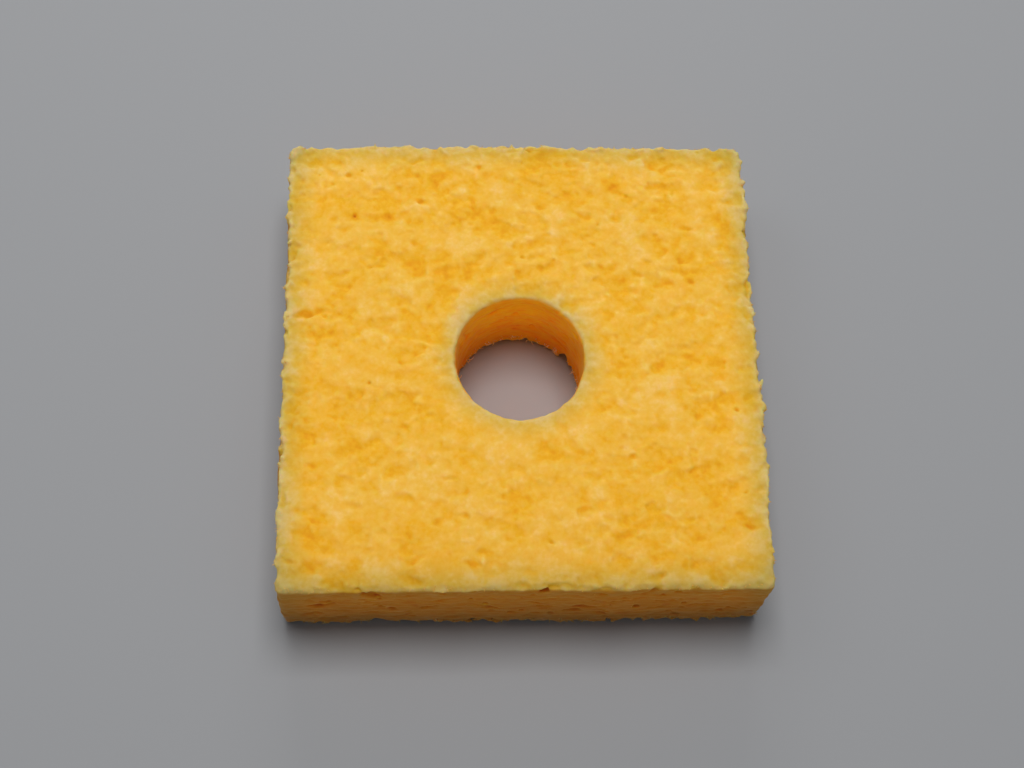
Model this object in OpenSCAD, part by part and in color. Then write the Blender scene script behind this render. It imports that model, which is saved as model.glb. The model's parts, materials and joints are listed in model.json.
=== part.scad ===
// Square tip-cleaning sponge for a soldering iron's tray.
// It is one piece of expanded cellulose, cut from a sheet, with one round hole punched through
// its middle. The origin is the middle of the underside: X runs across the front, Y to the back
// and Z up, along the hole.

/* [Block] */
// Width from side to side, along X
sponge_w = 69; // [30:0.5:120]
// Depth from front to back, along Y
sponge_d = 70; // [30:0.5:120]
// Thickness of the sheet that the sponge is cut from, dry and fully swollen
sponge_t = 16; // [4:0.5:30]
// Radius that the cutter leaves on the four upright corners
corner_r = 1; // [0.2:0.1:5]

/* [Hole] */
// Diameter of the hole through the middle, where solder wiped off the tip drops through
hole_d = 19; // [4:0.5:25]

/* [Hidden] */
// How far the punch runs past both faces
punch_past = 1;
$fn = 96;

// Outline of the cut block: a rectangle with four round corners, centred on the origin
module block_outline() {
    square([sponge_w - 2 * corner_r, sponge_d], center = true);
    square([sponge_w, sponge_d - 2 * corner_r], center = true);
    for (side_x = [-1, 1], side_y = [-1, 1])
        translate([side_x * (sponge_w / 2 - corner_r), side_y * (sponge_d / 2 - corner_r)])
            circle(r = corner_r);
}

// The punch that makes the hole, standing on the origin's axis
module hole_punch() {
    translate([0, 0, -punch_past])
        cylinder(d = hole_d, h = sponge_t + 2 * punch_past);
}

// The sponge: the block with the hole through it
module sponge() {
    color("#E8B142")
    difference() {
        linear_extrude(height = sponge_t) block_outline();
        hole_punch();
    }
}

sponge();
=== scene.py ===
"""The looks of the tip-cleaning sponge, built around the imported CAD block.

The sponge is shaped as a distance field on a grid: a block with a hole, a little uneven, with
pores cut into every face and its lower edges torn. The field becomes one mesh, which keeps how
deep and how hollow each point lies for the material to colour. Short fibres stand on its edges
and cut sides. Lengths in the shaping are millimetres; MM turns them into Blender's metres.
"""

import math

import bpy
import numpy as np
import openvdb
from mathutils import Matrix, Vector
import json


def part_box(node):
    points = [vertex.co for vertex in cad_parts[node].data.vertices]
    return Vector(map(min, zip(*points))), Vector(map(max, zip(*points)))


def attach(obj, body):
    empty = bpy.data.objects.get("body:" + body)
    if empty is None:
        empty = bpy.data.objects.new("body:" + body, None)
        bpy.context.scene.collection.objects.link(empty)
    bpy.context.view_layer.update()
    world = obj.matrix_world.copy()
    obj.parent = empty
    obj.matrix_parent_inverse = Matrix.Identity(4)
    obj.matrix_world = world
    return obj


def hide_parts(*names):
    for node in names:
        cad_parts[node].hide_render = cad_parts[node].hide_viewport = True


MM = 0.001
SEED = 20
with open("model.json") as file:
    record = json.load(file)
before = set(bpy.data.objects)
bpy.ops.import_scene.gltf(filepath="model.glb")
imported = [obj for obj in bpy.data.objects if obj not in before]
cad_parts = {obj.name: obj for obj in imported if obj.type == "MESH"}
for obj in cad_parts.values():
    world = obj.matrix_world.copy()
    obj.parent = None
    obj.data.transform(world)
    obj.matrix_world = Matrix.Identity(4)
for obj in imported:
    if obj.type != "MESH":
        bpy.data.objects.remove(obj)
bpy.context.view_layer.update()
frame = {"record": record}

# The block's real sizes, read from the CAD model
block_low, block_high = (np.array(corner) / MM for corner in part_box("sponge"))
HALF_X, HALF_Y, THICK = block_high
HOLE_R = next(m for m in frame["record"]["mounts"] if m["name"] == "hole")["dims"]["r_mm"]


# ---------------------------------------------------------------- camera, floor and lights

CAMERA_AZIMUTH = -6.7  # degrees; 0 looks along +Y
CAMERA_ELEVATION = 67.76
CAMERA_ROLL = 5.98
CAMERA_DISTANCE = 227.7 * MM
CAMERA_LENS = 55.2  # for a sensor 36 mm wide
LOOK_AT = Vector((-1.31, -4.26, THICK)) * MM
LAMP_DISTANCE = 0.65  # metres from the middle of the sponge's foot
LAMP_SIZE = 0.30  # side of each square lamp, in metres
FLOOR_HALF = 3.0  # half the floor's width, in metres


def add_camera():
    """The camera, at the height, turn and roll from which the sponge is seen."""
    azimuth, elevation, roll = map(math.radians, (CAMERA_AZIMUTH, CAMERA_ELEVATION, CAMERA_ROLL))
    forward = Vector((-math.sin(azimuth) * math.cos(elevation),
                      math.cos(azimuth) * math.cos(elevation),
                      -math.sin(elevation)))
    level = forward.cross(Vector((0, 0, 1))).normalized()
    upright = level.cross(forward)
    right = math.cos(roll) * level + math.sin(roll) * upright
    up = math.cos(roll) * upright - math.sin(roll) * level
    data = bpy.data.cameras.new("camera")
    data.lens = CAMERA_LENS
    data.sensor_width = 36
    data.clip_start = 0.01
    camera = bpy.data.objects.new("camera", data)
    bpy.context.scene.collection.objects.link(camera)
    turn = Matrix((right, up, -forward)).transposed().to_4x4()
    camera.matrix_world = Matrix.Translation(LOOK_AT - forward * CAMERA_DISTANCE) @ turn
    bpy.context.scene.camera = camera


lit_by_front = bpy.data.collections.new("lit_by_front")


def add_softbox(name, azimuth, elevation, watts, only_sponge=False):
    """A square lamp that faces the sponge. Azimuth 0 is behind it and 90 to its right."""
    data = bpy.data.lights.new(name, "AREA")
    data.size = LAMP_SIZE
    data.energy = watts
    lamp = bpy.data.objects.new(name, data)
    turn, tilt = math.radians(azimuth), math.radians(elevation)
    level = math.cos(tilt)
    towards = Vector((math.sin(turn) * level, math.cos(turn) * level, math.sin(tilt)))
    lamp.location = LAMP_DISTANCE * towards
    lamp.rotation_euler = (-towards).to_track_quat("-Z", "Y").to_euler()
    if only_sponge:
        lamp.light_linking.receiver_collection = lit_by_front
    bpy.context.scene.collection.objects.link(lamp)


def add_floor():
    """A plain pale floor under the sponge."""
    half = FLOOR_HALF
    mesh = bpy.data.meshes.new("floor")
    corners = [(-half, -half, 0), (half, -half, 0), (half, half, 0), (-half, half, 0)]
    mesh.from_pydata(corners, [], [(0, 1, 2, 3)])
    floor = bpy.data.objects.new("floor", mesh)
    bpy.context.scene.collection.objects.link(floor)
    material = bpy.data.materials.new("floor")
    material.use_nodes = True
    shader = material.node_tree.nodes["Principled BSDF"]
    shader.inputs["Base Color"].default_value = (0.41, 0.418, 0.432, 1)
    shader.inputs["Roughness"].default_value = 0.75
    mesh.materials.append(material)


add_camera()
add_floor()
add_softbox("key", azimuth=0, elevation=76, watts=2.3)
add_softbox("back", azimuth=0, elevation=25, watts=0.65)
add_softbox("left", azimuth=-60, elevation=50, watts=0.2)
add_softbox("front", azimuth=180, elevation=33, watts=1.25, only_sponge=True)
world = bpy.data.worlds.new("studio")
world.use_nodes = True
world.node_tree.nodes["Background"].inputs["Color"].default_value = (0.125, 0.125, 0.128, 1)
bpy.context.scene.world = world
bpy.context.scene.view_settings.view_transform = "Standard"


# ---------------------------------------------------------------- tools for the distance field

VOXEL = 0.23  # spacing of the grid's points
GRID_MARGIN = 1.6  # how far the grid reaches past the block
axes = [np.arange(low - GRID_MARGIN, high + GRID_MARGIN, VOXEL, dtype=np.float32)
        for low, high in zip(block_low, block_high)]
X, Y, Z = np.meshgrid(*axes, indexing="ij", sparse=True)
grid_shape = tuple(len(axis) for axis in axes)
grid_origin = np.array([axis[0] for axis in axes])
rng = np.random.default_rng(SEED)


def spline_weights(count, cell):
    """Cubic B-spline weights that carry random numbers `cell` apart to `count` grid points."""
    place = np.arange(count) * VOXEL / cell
    first = np.floor(place).astype(int)
    t = place - first
    weights = np.zeros((count, first[-1] + 4), np.float32)
    parts = ((1 - t) ** 3, 3 * t**3 - 6 * t**2 + 4, 1 + 3 * t + 3 * t**2 - 3 * t**3, t**3)
    for k, part in enumerate(parts):
        weights[np.arange(count), first + k] = part / 6
    return weights


def smooth_noise(*cell):
    """Noise over the whole grid, with a spread of 1 and features about `cell` long on X, Y and Z."""
    weights = [spline_weights(count, size) for count, size in zip(grid_shape, cell)]
    field = rng.standard_normal([w.shape[1] for w in weights], dtype=np.float32)
    for axis, w in enumerate(weights):
        field = np.moveaxis(np.tensordot(w, field, axes=(1, axis)), 0, axis)
    return field / field.std()


def smooth_max(a, b, blend):
    """The larger of two distances, with their crease rounded over `blend`."""
    share = np.clip(0.5 + 0.5 * (a - b) / blend, 0, 1)
    return b + share * (a - b) + blend * share * (1 - share)


def box_blur(field, reach):
    """The mean of the field over a cube `reach` grid points to each side."""
    width = 2 * reach + 1
    for axis in range(3):
        pad = [(0, 0)] * 3
        pad[axis] = (reach + 1, reach)
        total = np.cumsum(np.pad(field, pad, mode="edge"), axis=axis, dtype=np.float32)
        count = field.shape[axis]
        ends = np.take(total, np.arange(width, width + count), axis=axis)
        field = (ends - np.take(total, np.arange(count), axis=axis)) / width
    return field


def sample(field, points):
    """The field's value at points, between its eight nearest grid points."""
    place = (points - grid_origin) / VOXEL
    first = np.clip(np.floor(place).astype(int), 0, np.array(grid_shape) - 2)
    t = (place - first).astype(np.float32)
    value = np.zeros(len(points), np.float32)
    for corner in np.ndindex(2, 2, 2):
        weight = np.prod(np.where(corner, t, 1 - t), axis=1)
        value += weight * field[tuple((first + corner).T)]
    return value


# ---------------------------------------------------------------- the block

CORNER_R = 0.8  # upright corners
EDGE_R = 0.5  # edges of the top and the underside
WORN_R = 1.1  # the top's front edge, which is worn rounder
WORN_WIDTH = 4  # how far back from the front side the wear reaches
RIM_R = 0.85  # edge of the hole
SWELL_X, SWELL_Y = 0.22, 0.15  # how far the cut sides swell past the CAD block
LEAN_X, LEAN_Y = 0.25, 0.62  # how far the top stands to the right of the foot, and behind it
LEVEL_Y = 0.44  # the share of the height where the lean along Y is nought
SINK = 0.3  # how far the top has sunk at its outer edges
SINK_WIDTH = 2.0  # how far in from the edges that goes
SKIN_DEPTH = 1.5  # how far under the top and the underside the cut sides are still smooth
RAGGED_WIDTH = 1.2  # how far the raggedness of the edges reaches from them


def outline_distance(x, y, z):
    """Distance to the outer sides, which lean a little. It is below 0 inside."""
    reach_x = np.abs(x - LEAN_X * z / THICK) - (HALF_X + SWELL_X - CORNER_R)
    reach_y = np.abs(y - LEAN_Y * (z / THICK - LEVEL_Y)) - (HALF_Y + SWELL_Y - CORNER_R)
    outside = np.hypot(np.maximum(reach_x, 0), np.maximum(reach_y, 0)) - CORNER_R
    return outside + np.minimum(np.maximum(reach_x, reach_y), 0)


def hole_distance(x, y):
    """Distance to the wall of the hole, below 0 in the sponge."""
    return HOLE_R - np.hypot(x, y)


# How far the top has sunk at each place
settled = SINK * np.exp(outline_distance(X, Y, Z) / SINK_WIDTH) * (Z > THICK / 2)


def block_distance(cut_sides):
    """Distance to the plain block. Its edges are rounded and the top sinks a little towards them."""
    worn = np.clip((-Y - HALF_Y + WORN_WIDTH) / WORN_WIDTH, 0, 1) * (Z > THICK / 2)
    outer_radius = EDGE_R + (WORN_R - EDGE_R) * worn
    radius = np.where(hole_distance(X, Y) > outline_distance(X, Y, Z), RIM_R, outer_radius)
    across = cut_sides + radius
    up = np.abs(Z - THICK / 2) - THICK / 2 + radius + settled
    outside = np.hypot(np.maximum(across, 0), np.maximum(up, 0))
    return outside + np.minimum(np.maximum(across, up), 0) - radius


sides = np.maximum(outline_distance(X, Y, Z), hole_distance(X, Y))
plain = block_distance(sides)

# Swellings several millimetres long, layers that lie flat in the sheet, and the grain of the foam.
# The punched hole is the smoothest cut, and the outer edges are the most ragged.
inner = THICK / 2 - np.abs(Z - THICK / 2) - settled
rawness = np.clip(inner / SKIN_DEPTH, 0, 1) * np.clip(0.6 - 0.2 * hole_distance(X, Y), 0.6, 1)
near_edge = np.clip(1 - (np.maximum(inner, 0) + np.maximum(-sides, 0)) / RAGGED_WIDTH, 0, 1)
grain = smooth_noise(0.5, 0.45, 0.45)
crumbs = smooth_noise(0.95, 0.75, 0.6)
outer_edge = near_edge * (outline_distance(X, Y, Z) > hole_distance(X, Y))
field = plain + 0.07 * smooth_noise(9, 9, 9) + 0.04 * smooth_noise(3.2, 2.6, 2.0)
field += rawness * (0.07 * smooth_noise(2.2, 2.2, 6) + 0.04 * smooth_noise(3, 3, 0.42))
field += (0.025 + 0.05 * near_edge) * grain + (0.02 + 0.04 * near_edge) * crumbs
field += outer_edge * (0.11 * smooth_noise(1.5, 1.5, 1.2) + 0.10 * grain + 0.02 * crumbs)

# The lower edges are torn: an undercut of uneven height, with short deep notches. In the hole it
# is deepest at the back right.
tear = 0.35 + 0.30 * smooth_noise(2.6, 2.6, 50)[:, :, :1] + 0.40 * smooth_noise(0.8, 0.8, 50)[:, :, :1]
tear = np.clip(tear, 0.05, 1.3)
around_hole = np.clip(1 + 0.15 * hole_distance(X, Y), 0, 1)
to_back_right = np.clip(1.6 * (0.95 * X + 0.3 * Y) / HOLE_R - 0.5, 0, 1.2)
tear = tear * (1 + (0.1 + 1.5 * to_back_right) * around_hole)
field = smooth_max(field, (tear - (Z - 0.35 * sides)) * 0.9 + 0.06 * grain, 0.1)
uncut = field.copy()


# ---------------------------------------------------------------- pores and tufts

# Each kind: number per square centimetre, half length, width over length, depth, and how soft
# its lip is
SKIN_PORES = {
    "dimple": (13.0, (0.4, 1.0), (0.55, 1.0), (0.10, 0.18), 0.38),
    "dish": (4.0, (0.8, 1.6), (0.45, 0.8), (0.15, 0.27), 0.46),
    "slot": (1.2, (0.9, 1.9), (0.26, 0.45), (0.22, 0.34), 0.38),
    "pit": (0.8, (0.4, 0.75), (0.6, 1.0), (0.28, 0.42), 0.30),
    "dot": (0.4, (0.22, 0.32), (0.8, 1.0), (0.3, 0.4), 0.2),
}
CUT_PORES = {
    "slot": (4.0, (0.6, 1.9), (0.18, 0.35), (0.18, 0.42), 0.22),
    "pit": (7.0, (0.25, 0.6), (0.4, 0.8), (0.18, 0.42), 0.20),
}
PUNCHED_PORES = {
    "slot": (7.0, (0.5, 1.8), (0.15, 0.3), (0.12, 0.25), 0.25),
}


def flat_face(centre, along, across, half_along, half_across):
    """A face as (area, point maker).

    The maker turns two numbers from -1 to 1 into a place and the three directions there."""
    centre, along, across = (np.array(v, float) for v in (centre, along, across))

    def point(s, t):
        place = centre + s * half_along * along + t * half_across * across
        return place, along, across, np.cross(along, across)

    return 4 * half_along * half_across, point


def hole_face():
    """The wall of the hole, in the same form as a flat face."""

    def point(s, t):
        angle = math.pi * s
        out = np.array([math.cos(angle), math.sin(angle), 0])
        place = out * HOLE_R + np.array([0, 0, (1 + t) * THICK / 2])
        return place, np.array([-out[1], out[0], 0]), np.array([0, 0, 1.0]), out

    return 2 * math.pi * HOLE_R * THICK, point


def near_ellipsoid(place, frame_axes, radii, open_outwards):
    """Grid window around an ellipsoid, and how deep each point lies inside it, with a wavy outline.

    One that is open outwards goes on for ever along its last axis, so it cuts no overhang."""
    reach = 1.4 * max(radii) + 3 * VOXEL
    window = tuple(
        slice(max(0, int((c - reach - o) / VOXEL)), max(0, int((c + reach - o) / VOXEL) + 2))
        for c, o in zip(place, grid_origin)
    )
    dx, dy, dz = X[window[0]] - place[0], Y[:, window[1]] - place[1], Z[:, :, window[2]] - place[2]
    parts = [dx * a[0] + dy * a[1] + dz * a[2] for a in frame_axes]
    if open_outwards:
        parts[2] = np.minimum(parts[2], 0)
    squares = sum((part / r) ** 2 for part, r in zip(parts, radii))
    return window, (1 - np.sqrt(squares)) * min(radii) + 0.05 * grain[window] + 0.05 * crumbs[window]


def outwards(place, normal):
    """The normal, turned to point out of the block."""
    return normal if sample(plain, (place + normal * 2)[None])[0] > 0 else -normal


def to_surface(place, out):
    """The place moved out or in to where the uneven face really is."""
    return place - out * np.clip(sample(uncut, place[None])[0], -1, 1)


def cut_pores(face, kinds, reach=1.0, rim_gap=None):
    """Scatters every kind of pore over a face. Pores lie along the face's first direction.

    They fill the share `reach` of its second direction, and stay rim_gap off the hole if given."""
    area, point = face
    for per_cm2, half_lengths, widths, depths, blend in kinds.values():
        for _ in range(rng.poisson(per_cm2 * area / 100)):
            place, along, across, normal = point(rng.uniform(-1, 1), rng.uniform(-reach, reach))
            out = outwards(place, normal)
            turn = rng.normal(0, 0.35)
            first = math.cos(turn) * along + math.sin(turn) * across
            second = math.cos(turn) * across - math.sin(turn) * along
            length = half_lengths[0] + (half_lengths[1] - half_lengths[0]) * rng.random() ** 1.6
            depth = rng.uniform(*depths)
            if rim_gap is not None and hole_distance(place[0], place[1]) > -length - rim_gap:
                continue
            place = to_surface(place, out) - out * rng.uniform(-0.25, 0.35) * depth
            radii = (length, length * rng.uniform(*widths), depth)
            window, inside = near_ellipsoid(place, (first, second, out), radii, open_outwards=True)
            field[window] = smooth_max(field[window], inside, blend)


def add_tufts(face, per_cm):
    """Leaves tufts of torn foam along the foot of a face."""
    area, point = face
    for _ in range(rng.poisson(per_cm * area / THICK / 10)):
        place, along, across, normal = point(rng.uniform(-1, 1), -1)
        out = outwards(place + across, normal)
        place = to_surface(place + across, out) - across + out * rng.uniform(-0.45, -0.1)
        place = place + across * rng.uniform(0.25, 0.9)
        radii = (rng.uniform(0.2, 0.55), rng.uniform(0.18, 0.35), rng.uniform(0.18, 0.3))
        window, inside = near_ellipsoid(place, (along, across, out), radii, open_outwards=False)
        field[window] = -smooth_max(-field[window], inside, 0.1)


def nibble(face, per_cm, end, heights, depths):
    """Bites small notches out of an edge of a face: its top edge where end is 1, its foot where -1."""
    area, point = face
    for _ in range(rng.poisson(per_cm * area / THICK / 10)):
        place, along, across, normal = point(rng.uniform(-0.93, 0.93), end)
        inner_place = place - end * across
        out = outwards(inner_place, normal)
        place = to_surface(inner_place, out) + end * across
        radii = (0.4 + 0.8 * rng.random() ** 2, rng.uniform(*heights), rng.uniform(*depths))
        window, inside = near_ellipsoid(place, (along, across, out), radii, open_outwards=False)
        field[window] = smooth_max(field[window], inside, 0.3)


x_axis, y_axis, z_axis = (1, 0, 0), (0, 1, 0), (0, 0, 1)
outer_faces = [
    flat_face((0, -HALF_Y, THICK / 2), x_axis, z_axis, HALF_X, THICK / 2),
    flat_face((0, HALF_Y, THICK / 2), x_axis, z_axis, HALF_X, THICK / 2),
    flat_face((-HALF_X, 0, THICK / 2), y_axis, z_axis, HALF_Y, THICK / 2),
    flat_face((HALF_X, 0, THICK / 2), y_axis, z_axis, HALF_Y, THICK / 2),
]
for face in (*outer_faces, hole_face()):
    add_tufts(face, per_cm=8)
for height in (0, THICK):
    cut_pores(flat_face((0, 0, height), x_axis, y_axis, HALF_X, HALF_Y), SKIN_PORES, rim_gap=0.4)
for face in outer_faces:
    cut_pores(face, CUT_PORES)
    nibble(face, per_cm=1.6, end=1, heights=(0.3, 0.9), depths=(0.2, 0.45))
    nibble(face, per_cm=1.4, end=-1, heights=(0.8, 2.2), depths=(0.35, 0.75))
cut_pores(hole_face(), PUNCHED_PORES, reach=0.82)
field = np.maximum(field, -Z)


# ---------------------------------------------------------------- the mesh

def mesh_from_field():
    """Points in millimetres and quads of the surface where the field is zero."""
    grid = openvdb.FloatGrid(1.0)
    grid.copyFromArray(np.ascontiguousarray(field, dtype=np.float32))
    points, quads = grid.convertToQuads(isovalue=0.0)
    return points * VOXEL + grid_origin, quads


def keep_largest(points, quads):
    """Drops loose crumbs: only the largest connected piece stays."""
    label = np.arange(len(points))
    while True:
        lowest = label[quads].min(axis=1)
        new = label.copy()
        for k in range(4):
            np.minimum.at(new, quads[:, k], lowest)
        new = new[new]
        if (new == label).all():
            break
        label = new
    biggest = np.bincount(label[quads[:, 0]]).argmax()
    quads = quads[label[quads[:, 0]] == biggest]
    used = np.unique(quads)
    renumber = np.zeros(len(points), int)
    renumber[used] = np.arange(len(used))
    return points[used], renumber[quads]


def add_mesh(name, points, faces):
    """A smooth-shaded object made of points in millimetres."""
    mesh = bpy.data.meshes.new(name)
    mesh.vertices.add(len(points))
    mesh.vertices.foreach_set("co", (points * MM).astype(np.float32).ravel())
    mesh.loops.add(faces.size)
    mesh.loops.foreach_set("vertex_index", faces.astype(np.int32).ravel())
    mesh.polygons.add(len(faces))
    mesh.polygons.foreach_set("loop_start", np.arange(0, faces.size, faces.shape[1], dtype=np.int32))
    mesh.update(calc_edges=True)
    mesh.shade_smooth()
    piece = bpy.data.objects.new(name, mesh)
    bpy.context.scene.collection.objects.link(piece)
    return piece


def store(piece, name, values):
    """Keeps one number per point on the mesh, for the material."""
    attribute_data = piece.data.attributes.new(name, "FLOAT", "POINT").data
    attribute_data.foreach_set("value", values.astype(np.float32))


def blurred_solid(reach):
    """How much of the space is foam within about reach of each grid point."""
    steps = round(reach / VOXEL)
    return box_blur(box_blur((field < 0).astype(np.float32), steps), steps)


def nearest(distance_to_cut, shift_above, shift_below, blend):
    """1 where a cut side is the nearest face, 0 where the top or the underside is."""
    height = THICK / 2 - np.abs(points[:, 2] - THICK / 2)
    shift = np.where(points[:, 2] > THICK / 2, shift_above, shift_below)
    return np.clip(0.5 + (height + distance_to_cut - shift) / blend, 0, 1)


EDGE_REACH = 3.4  # how far around each point the foam is counted to find the edges
FOOT_HEIGHT = 2.5
FOOT_LEAK = 0.43  # the least share of foam that is stored below that height
FRONT_SHADE_FADE = 6  # how far back from the front side the painted shade on the top fades

points, quads = keep_largest(*mesh_from_field())
sponge = add_mesh("sponge_body", points, quads)
store(sponge, "depth", -sample(uncut, points))
store(sponge, "hollow", sample(blurred_solid(0.25), points))
store(sponge, "hollow_wide", sample(blurred_solid(0.8), points))
# There is little foam around an edge, which the material makes pale, though not at the foot
leak = sample(blurred_solid(EDGE_REACH), points)
store(sponge, "leak", np.where(points[:, 2] < FOOT_HEIGHT, np.maximum(leak, FOOT_LEAK), leak))
store(sponge, "side", nearest(outline_distance(*points.T), 1.0, -0.6, 0.6))
store(sponge, "bore", nearest(hole_distance(points[:, 0], points[:, 1]), 0.5, 0.5, 1.0))
# How low each point lies, for the painted shade towards the foot
store(sponge, "low", 1 - points[:, 2] / THICK)
# How near the front side each point lies, for the painted shade there
store(sponge, "front", np.exp(-(points[:, 1] + HALF_Y) / FRONT_SHADE_FADE))


def set_map(piece, places):
    """Gives every corner of every face its place in the map named OFBake."""
    layer = piece.data.uv_layers.new(name="OFBake")
    layer.data.foreach_set("uv", places.astype(np.float32).ravel())


MAP_SIZE = 150  # the width of the sponge's map, in millimetres


def add_sponge_map():
    """A flat map of the sponge: top, underside, the four sides and the unrolled hole, side by side."""
    corners = points[quads]
    centres = corners.mean(axis=1)
    x, y, height = corners[..., 0], corners[..., 1], corners[..., 2]
    to_cuts = np.stack([HALF_X + centres[:, 0], HALF_X - centres[:, 0], HALF_Y + centres[:, 1],
                        HALF_Y - centres[:, 1], -hole_distance(centres[:, 0], centres[:, 1])])
    to_faces = np.vstack([THICK - centres[:, 2], centres[:, 2], to_cuts])
    angle = np.arctan2(y, x)
    middle = np.arctan2(centres[:, 1], centres[:, 0])[:, None]
    unrolled = HOLE_R * (angle - 2 * math.pi * np.round((angle - middle) / (2 * math.pi)))
    # For each face of the block: what runs along its part of the map, what runs up, and where it lies
    parts = (
        (x, y, 37, 37),
        (x, y, 112, 37),
        (y, height, 37, 76),
        (y, height, 112, 76),
        (x, height, 37, 95),
        (x, height, 112, 95),
        (unrolled, height, 37, 114),
    )
    place = np.zeros((len(quads), 4, 2))
    nearest_face = to_faces.argmin(axis=0)
    for number, (along, up, right, above) in enumerate(parts):
        chosen = nearest_face == number
        place[chosen] = np.stack([along[chosen] + right, up[chosen] + above], axis=-1)
    set_map(sponge, place / MAP_SIZE)


add_sponge_map()


# ---------------------------------------------------------------- fibres

RINGS = 8  # along a fibre
CORNERS = 4  # around it
ROOT_DEPTH = 0.15  # how deep a fibre starts inside the foam
FLOOR_GAP = 0.02  # how far fibres stay above the floor


def add_fibres(name, roots, directions, lengths, radii, curl):
    """One object of tapered curling fibres, each a closed tube that starts inside the foam."""
    count = len(roots)
    place = roots - ROOT_DEPTH * directions
    heading = directions + rng.normal(0, 0.35, (count, 3))
    bend = rng.normal(0, curl, (count, 3))
    rings = []
    for ring in range(RINGS):
        heading /= np.linalg.norm(heading, axis=1)[:, None]
        first = np.cross(heading, (0.31, 0.52, 0.79))
        first /= np.linalg.norm(first, axis=1)[:, None]
        second = np.cross(heading, first)
        taper = 1 - 0.75 * (ring / (RINGS - 1)) ** 1.5
        for corner in range(CORNERS):
            angle = 2 * math.pi * corner / CORNERS
            sideways = math.cos(angle) * first + math.sin(angle) * second
            rings.append(place + (radii * taper)[:, None] * sideways)
        place = place + heading * (lengths / (RINGS - 1))[:, None]
        heading = heading + np.cross(bend, heading) + rng.normal(0, 0.12, (count, 3))
    fibre_points = np.stack(rings, axis=1).reshape(-1, 3)
    fibre_points[:, 2] = np.maximum(fibre_points[:, 2], FLOOR_GAP)
    shape = [[3, 2, 1, 0], [RINGS * CORNERS - k for k in (4, 3, 2, 1)]]
    for ring in range(RINGS - 1):
        for corner in range(CORNERS):
            low, high = ring * CORNERS, (ring + 1) * CORNERS
            following = (corner + 1) % CORNERS
            shape.append([low + corner, low + following, high + following, high + corner])
    starts = np.arange(count) * RINGS * CORNERS
    faces = (np.array(shape)[None] + starts[:, None, None]).reshape(-1, 4)
    piece = add_mesh(name, fibre_points, faces)
    # Each fibre has its own cell in the map, with its rings one above another
    cells = math.ceil(math.sqrt(count))
    ring, corner = np.divmod(faces % (RINGS * CORNERS), CORNERS)
    corner = np.where((corner == 0) & (corner.max(axis=1, keepdims=True) == 3), 4, corner)
    column, row = np.divmod(faces // (RINGS * CORNERS), cells)
    place = np.stack([column + 0.1 + 0.2 * corner, row + 0.1 + 0.8 * ring / RINGS], axis=-1) / cells
    set_map(piece, place)
    return piece


normals = np.zeros(len(points) * 3, np.float32)
sponge.data.vertices.foreach_get("normal", normals)
normals = normals.reshape(-1, 3)
to_hole = hole_distance(points[:, 0], points[:, 1])
to_outline = outline_distance(*points.T)
upright = np.abs(normals[:, 2]) < 0.5
height = points[:, 2]
on_bore = (to_hole > -0.4) & upright
on_side = (to_outline > -0.4) & upright
on_top_edge = (to_outline > -0.5) & (np.abs(normals[:, 2]) < 0.85) & (height > THICK - 1.0)
below_top_edge = (to_outline > -0.6) & upright & (height < THICK - 0.6)
# Where fibres stand: which points, how many, length, radius, how much they hang, how pale they are
fibre_places = (
    (on_bore & (height < 2.4) & (height > 0.5), 60, (0.5, 1.4), (0.06, 0.11), 0.6, 1.0),
    (on_bore & (height < 2.2) & (height > 0.3), 420, (0.2, 0.6), (0.04, 0.08), 0.5, 0.8),
    (on_side & (height < 1.6) & (height > 0.3), 520, (0.25, 0.9), (0.05, 0.10), 0.4, 0.35),
    (on_top_edge, 900, (0.2, 0.6), (0.04, 0.07), 0.0, 0.2),
    (below_top_edge, 400, (0.15, 0.5), (0.03, 0.05), 0.1, 0.0),
)
roots, directions, lengths, radii, pale = [], [], [], [], []
for chosen, count, length, radius, hang, paleness in fibre_places:
    picks = rng.choice(np.flatnonzero(chosen), count)
    roots.append(points[picks])
    directions.append(normals[picks] - [0, 0, hang])
    lengths.append(rng.uniform(*length, count))
    radii.append(rng.uniform(*radius, count))
    pale.append(np.full(count, paleness))
fibre_shapes = [np.concatenate(part) for part in (roots, directions, lengths, radii)]
fibres = add_fibres("torn_fibres", *fibre_shapes, curl=0.3)
store(fibres, "pale", np.repeat(np.concatenate(pale), RINGS * CORNERS))
# Painted shade: the outer fibres are darkened towards the floor, as the cut sides are
root = fibre_shapes[0]
shaded = (1 - root[:, 2] / THICK) * (outline_distance(*root.T) > -2)
store(fibres, "low", np.repeat(shaded, RINGS * CORNERS))


# ---------------------------------------------------------------- materials

def new_material(name):
    """An empty node material: its node tree and its shader."""
    material = bpy.data.materials.new(name)
    material.use_nodes = True
    return material, material.node_tree, material.node_tree.nodes["Principled BSDF"]


def add_node(tree, kind, **values):
    """A node with its properties and inputs set; a link is made where the value is a socket.

    An input is given by its name, or as i0, i1 and so on by its place."""
    node = tree.nodes.new(kind)
    for name, value in values.items():
        if hasattr(node, name):
            setattr(node, name, value)
            continue
        numbered = name[0] == "i" and name[1:].isdigit()
        socket = node.inputs[int(name[1:]) if numbered else name]
        if isinstance(value, bpy.types.NodeSocket):
            tree.links.new(value, socket)
        else:
            socket.default_value = value
    return node


def math_node(tree, operation, a, b=0.0, c=0.0):
    """The result of one sum on numbers or sockets."""
    return add_node(tree, "ShaderNodeMath", operation=operation, i0=a, i1=b, i2=c).outputs[0]


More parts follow.
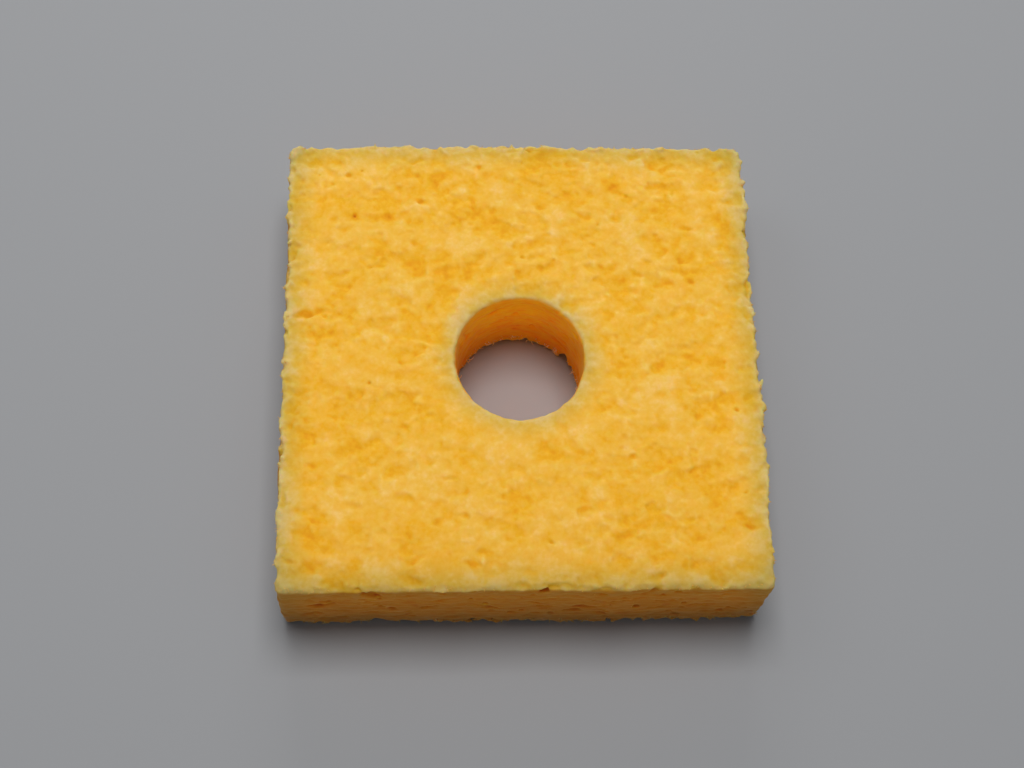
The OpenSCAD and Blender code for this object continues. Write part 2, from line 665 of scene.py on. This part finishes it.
def noise(tree, size_mm, detail=2.0, stretch=(1, 1, 1)):
    """Noise fixed to the object, with features about size_mm long, from about 0.3 to 0.7."""
    place = add_node(tree, "ShaderNodeTexCoord").outputs["Object"]
    scaled = add_node(tree, "ShaderNodeMapping", Vector=place, Scale=stretch).outputs[0]
    node = add_node(tree, "ShaderNodeTexNoise", Vector=scaled, Scale=1 / (size_mm * MM), Detail=detail)
    return node.outputs["Fac"]


def attribute(tree, name):
    """A number that the mesh keeps for each of its points."""
    return add_node(tree, "ShaderNodeAttribute", attribute_name=name).outputs["Fac"]


def ramp(tree, factor, stops):
    """A colour ramp with stops as (place, (r, g, b))."""
    node = add_node(tree, "ShaderNodeValToRGB", Fac=factor)
    elements = node.color_ramp.elements
    while len(elements) < len(stops):
        elements.new(0.5)
    for element, (place, colour) in zip(elements, stops):
        element.position = place
        element.color = (*colour, 1)
    return node.outputs["Color"]


def tint(tree, colour, amount, by):
    """The colour multiplied by another one, as much as amount says."""
    node = add_node(tree, "ShaderNodeMix", data_type="RGBA", blend_type="MULTIPLY", clamp_result=True)
    tree.links.new(amount, node.inputs["Factor"])
    tree.links.new(colour, node.inputs[6])
    node.inputs[7].default_value = (*by, 1)
    return node.outputs[2]


def bump(tree, height, strength, distance_mm, **under):
    """Fine relief, over the one before it where Normal is given."""
    node = add_node(tree, "ShaderNodeBump", Height=height, Strength=strength,
                    Distance=distance_mm * MM, **under)
    return node.outputs[0]


def cellulose_material():
    """Dry cellulose foam: a pale granular skin that turns deep orange down in the pores, partly its
    own colour and partly painted shade and painted light bounced between the pore walls.
    """
    material, tree, shader = new_material("cellulose")
    side = attribute(tree, "side")
    bore = attribute(tree, "bore")
    edge = math_node(tree, "MULTIPLY_ADD", attribute(tree, "leak"), -4.0, 2.0)
    edge = math_node(tree, "MAXIMUM", edge, 0.0)
    edge = math_node(tree, "MINIMUM", edge, math_node(tree, "SUBTRACT", 1.0, bore))
    # The place on the ramp: from 0 in the palest skin to 1 deep in the pores, where the deeper, darker
    # orange is partly painted shade and painted light bounced between the pore walls
    ramp_place = math_node(tree, "MULTIPLY_ADD", attribute(tree, "depth"), 0.48, 0.385)
    for name, strength in (("hollow", 0.25), ("hollow_wide", 0.5)):
        above_half = math_node(tree, "SUBTRACT", attribute(tree, name), 0.5)
        ramp_place = math_node(tree, "MULTIPLY_ADD", above_half, strength, ramp_place)
    ramp_place = math_node(tree, "MULTIPLY_ADD", side, 0.12, ramp_place)
    ramp_place = math_node(tree, "MULTIPLY_ADD", bore, 0.14, ramp_place)
    ramp_place = math_node(tree, "MULTIPLY_ADD", edge, -0.22, ramp_place)
    for size, strength in ((7.0, 0.45), (3.0, 0.31), (1.5, 0.44), (0.5, 0.27)):
        patches = math_node(tree, "SUBTRACT", noise(tree, size), 0.5)
        ramp_place = math_node(tree, "MULTIPLY_ADD", patches, strength, ramp_place)
    streaks = math_node(tree, "SUBTRACT", noise(tree, 1.8, stretch=(1, 1, 6)), 0.5)
    streaks = math_node(tree, "MULTIPLY", streaks, math_node(tree, "ADD", side, bore))
    ramp_place = math_node(tree, "MULTIPLY_ADD", streaks, 1.1, ramp_place)
    colour = ramp(tree, ramp_place, [
        (0.03, (0.94, 0.63, 0.24)),
        (0.33, (0.90, 0.53, 0.08)),
        (0.60, (0.88, 0.455, 0.015)),
        (0.82, (0.84, 0.35, 0.005)),
        (1.00, (0.70, 0.22, 0.002)),
    ])
    colour = tint(tree, colour, edge, (0.63, 0.75, 0.76))
    # Painted shade: the colour is a little darker towards the front
    colour = tint(tree, colour, attribute(tree, "front"), (0.87, 0.84, 0.68))
    # Painted shade on both kinds of cut wall: each is darkened towards the foot, so it is lighter
    # under the skin
    low = attribute(tree, "low")
    # The outer cut sides are darker and browner: partly their own colour, partly painted shade
    colour = tint(tree, colour, side, (0.71, 0.47, 0.24))
    colour = tint(tree, colour, math_node(tree, "MULTIPLY", side, low), (0.38, 0.38, 1.0))
    # The hole's wall is a deeper, brighter orange: partly its own colour, partly painted light bounced
    # inside the hole
    colour = tint(tree, colour, bore, (1.25, 0.92, 0.04))
    # Painted shade towards the foot of the hole's wall
    colour = tint(tree, colour, math_node(tree, "MULTIPLY", bore, low), (0.92, 0.72, 1.0))
    tree.links.new(colour, shader.inputs["Base Color"])
    fuzz = noise(tree, 0.22, detail=4.0)
    lumps = noise(tree, 0.6, detail=2.0)
    relief = bump(tree, fuzz, 0.28, 0.08)
    relief = bump(tree, lumps, 0.18, 0.2, Normal=relief)
    tree.links.new(relief, shader.inputs["Normal"])
    rough = math_node(tree, "MULTIPLY_ADD", fuzz, 0.3, 0.72)
    tree.links.new(rough, shader.inputs["Roughness"])
    shader.inputs["Specular IOR Level"].default_value = 0.2
    shader.inputs["Subsurface Weight"].default_value = 0.7
    shader.inputs["Subsurface Radius"].default_value = (1.0, 0.45, 0.12)
    # Light travels further through the freshly cut foam than through the dry skin
    travel = math_node(tree, "MULTIPLY_ADD", bore, 0.7 * MM, 1.8 * MM)
    travel = math_node(tree, "MULTIPLY_ADD", side, 2.0 * MM, travel)
    tree.links.new(travel, shader.inputs["Subsurface Scale"])
    shader.inputs["Sheen Weight"].default_value = 0.15
    shader.inputs["Sheen Roughness"].default_value = 0.5
    shader.inputs["Sheen Tint"].default_value = (1.0, 0.8, 0.3, 1)
    return material


def fibre_material():
    """Thin bleached strands, too fine to look as deep in colour as the foam."""
    material, tree, shader = new_material("loose_cellulose")
    ramp_place = math_node(tree, "MULTIPLY_ADD", attribute(tree, "pale"), -0.5, noise(tree, 1.2))
    colour = ramp(tree, ramp_place, [
        (0.0, (1.0, 0.76, 0.44)),
        (0.25, (0.9, 0.56, 0.13)),
        (0.6, (0.62, 0.26, 0.03)),
    ])
    # Painted shade towards the floor on the outer fibres
    colour = tint(tree, colour, attribute(tree, "low"), (0.40, 0.45, 0.55))
    tree.links.new(colour, shader.inputs["Base Color"])
    rough = math_node(tree, "MULTIPLY_ADD", noise(tree, 0.4), 0.3, 0.6)
    tree.links.new(rough, shader.inputs["Roughness"])
    shader.inputs["Specular IOR Level"].default_value = 0.2
    return material


sponge.data.materials.append(cellulose_material())
fibres.data.materials.append(fibre_material())


# ---------------------------------------------------------------- the pieces and the frame

for piece in (sponge, fibres):
    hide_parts("sponge")
    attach(piece, "root")

lit_by_front.objects.link(sponge)
lit_by_front.objects.link(fibres)
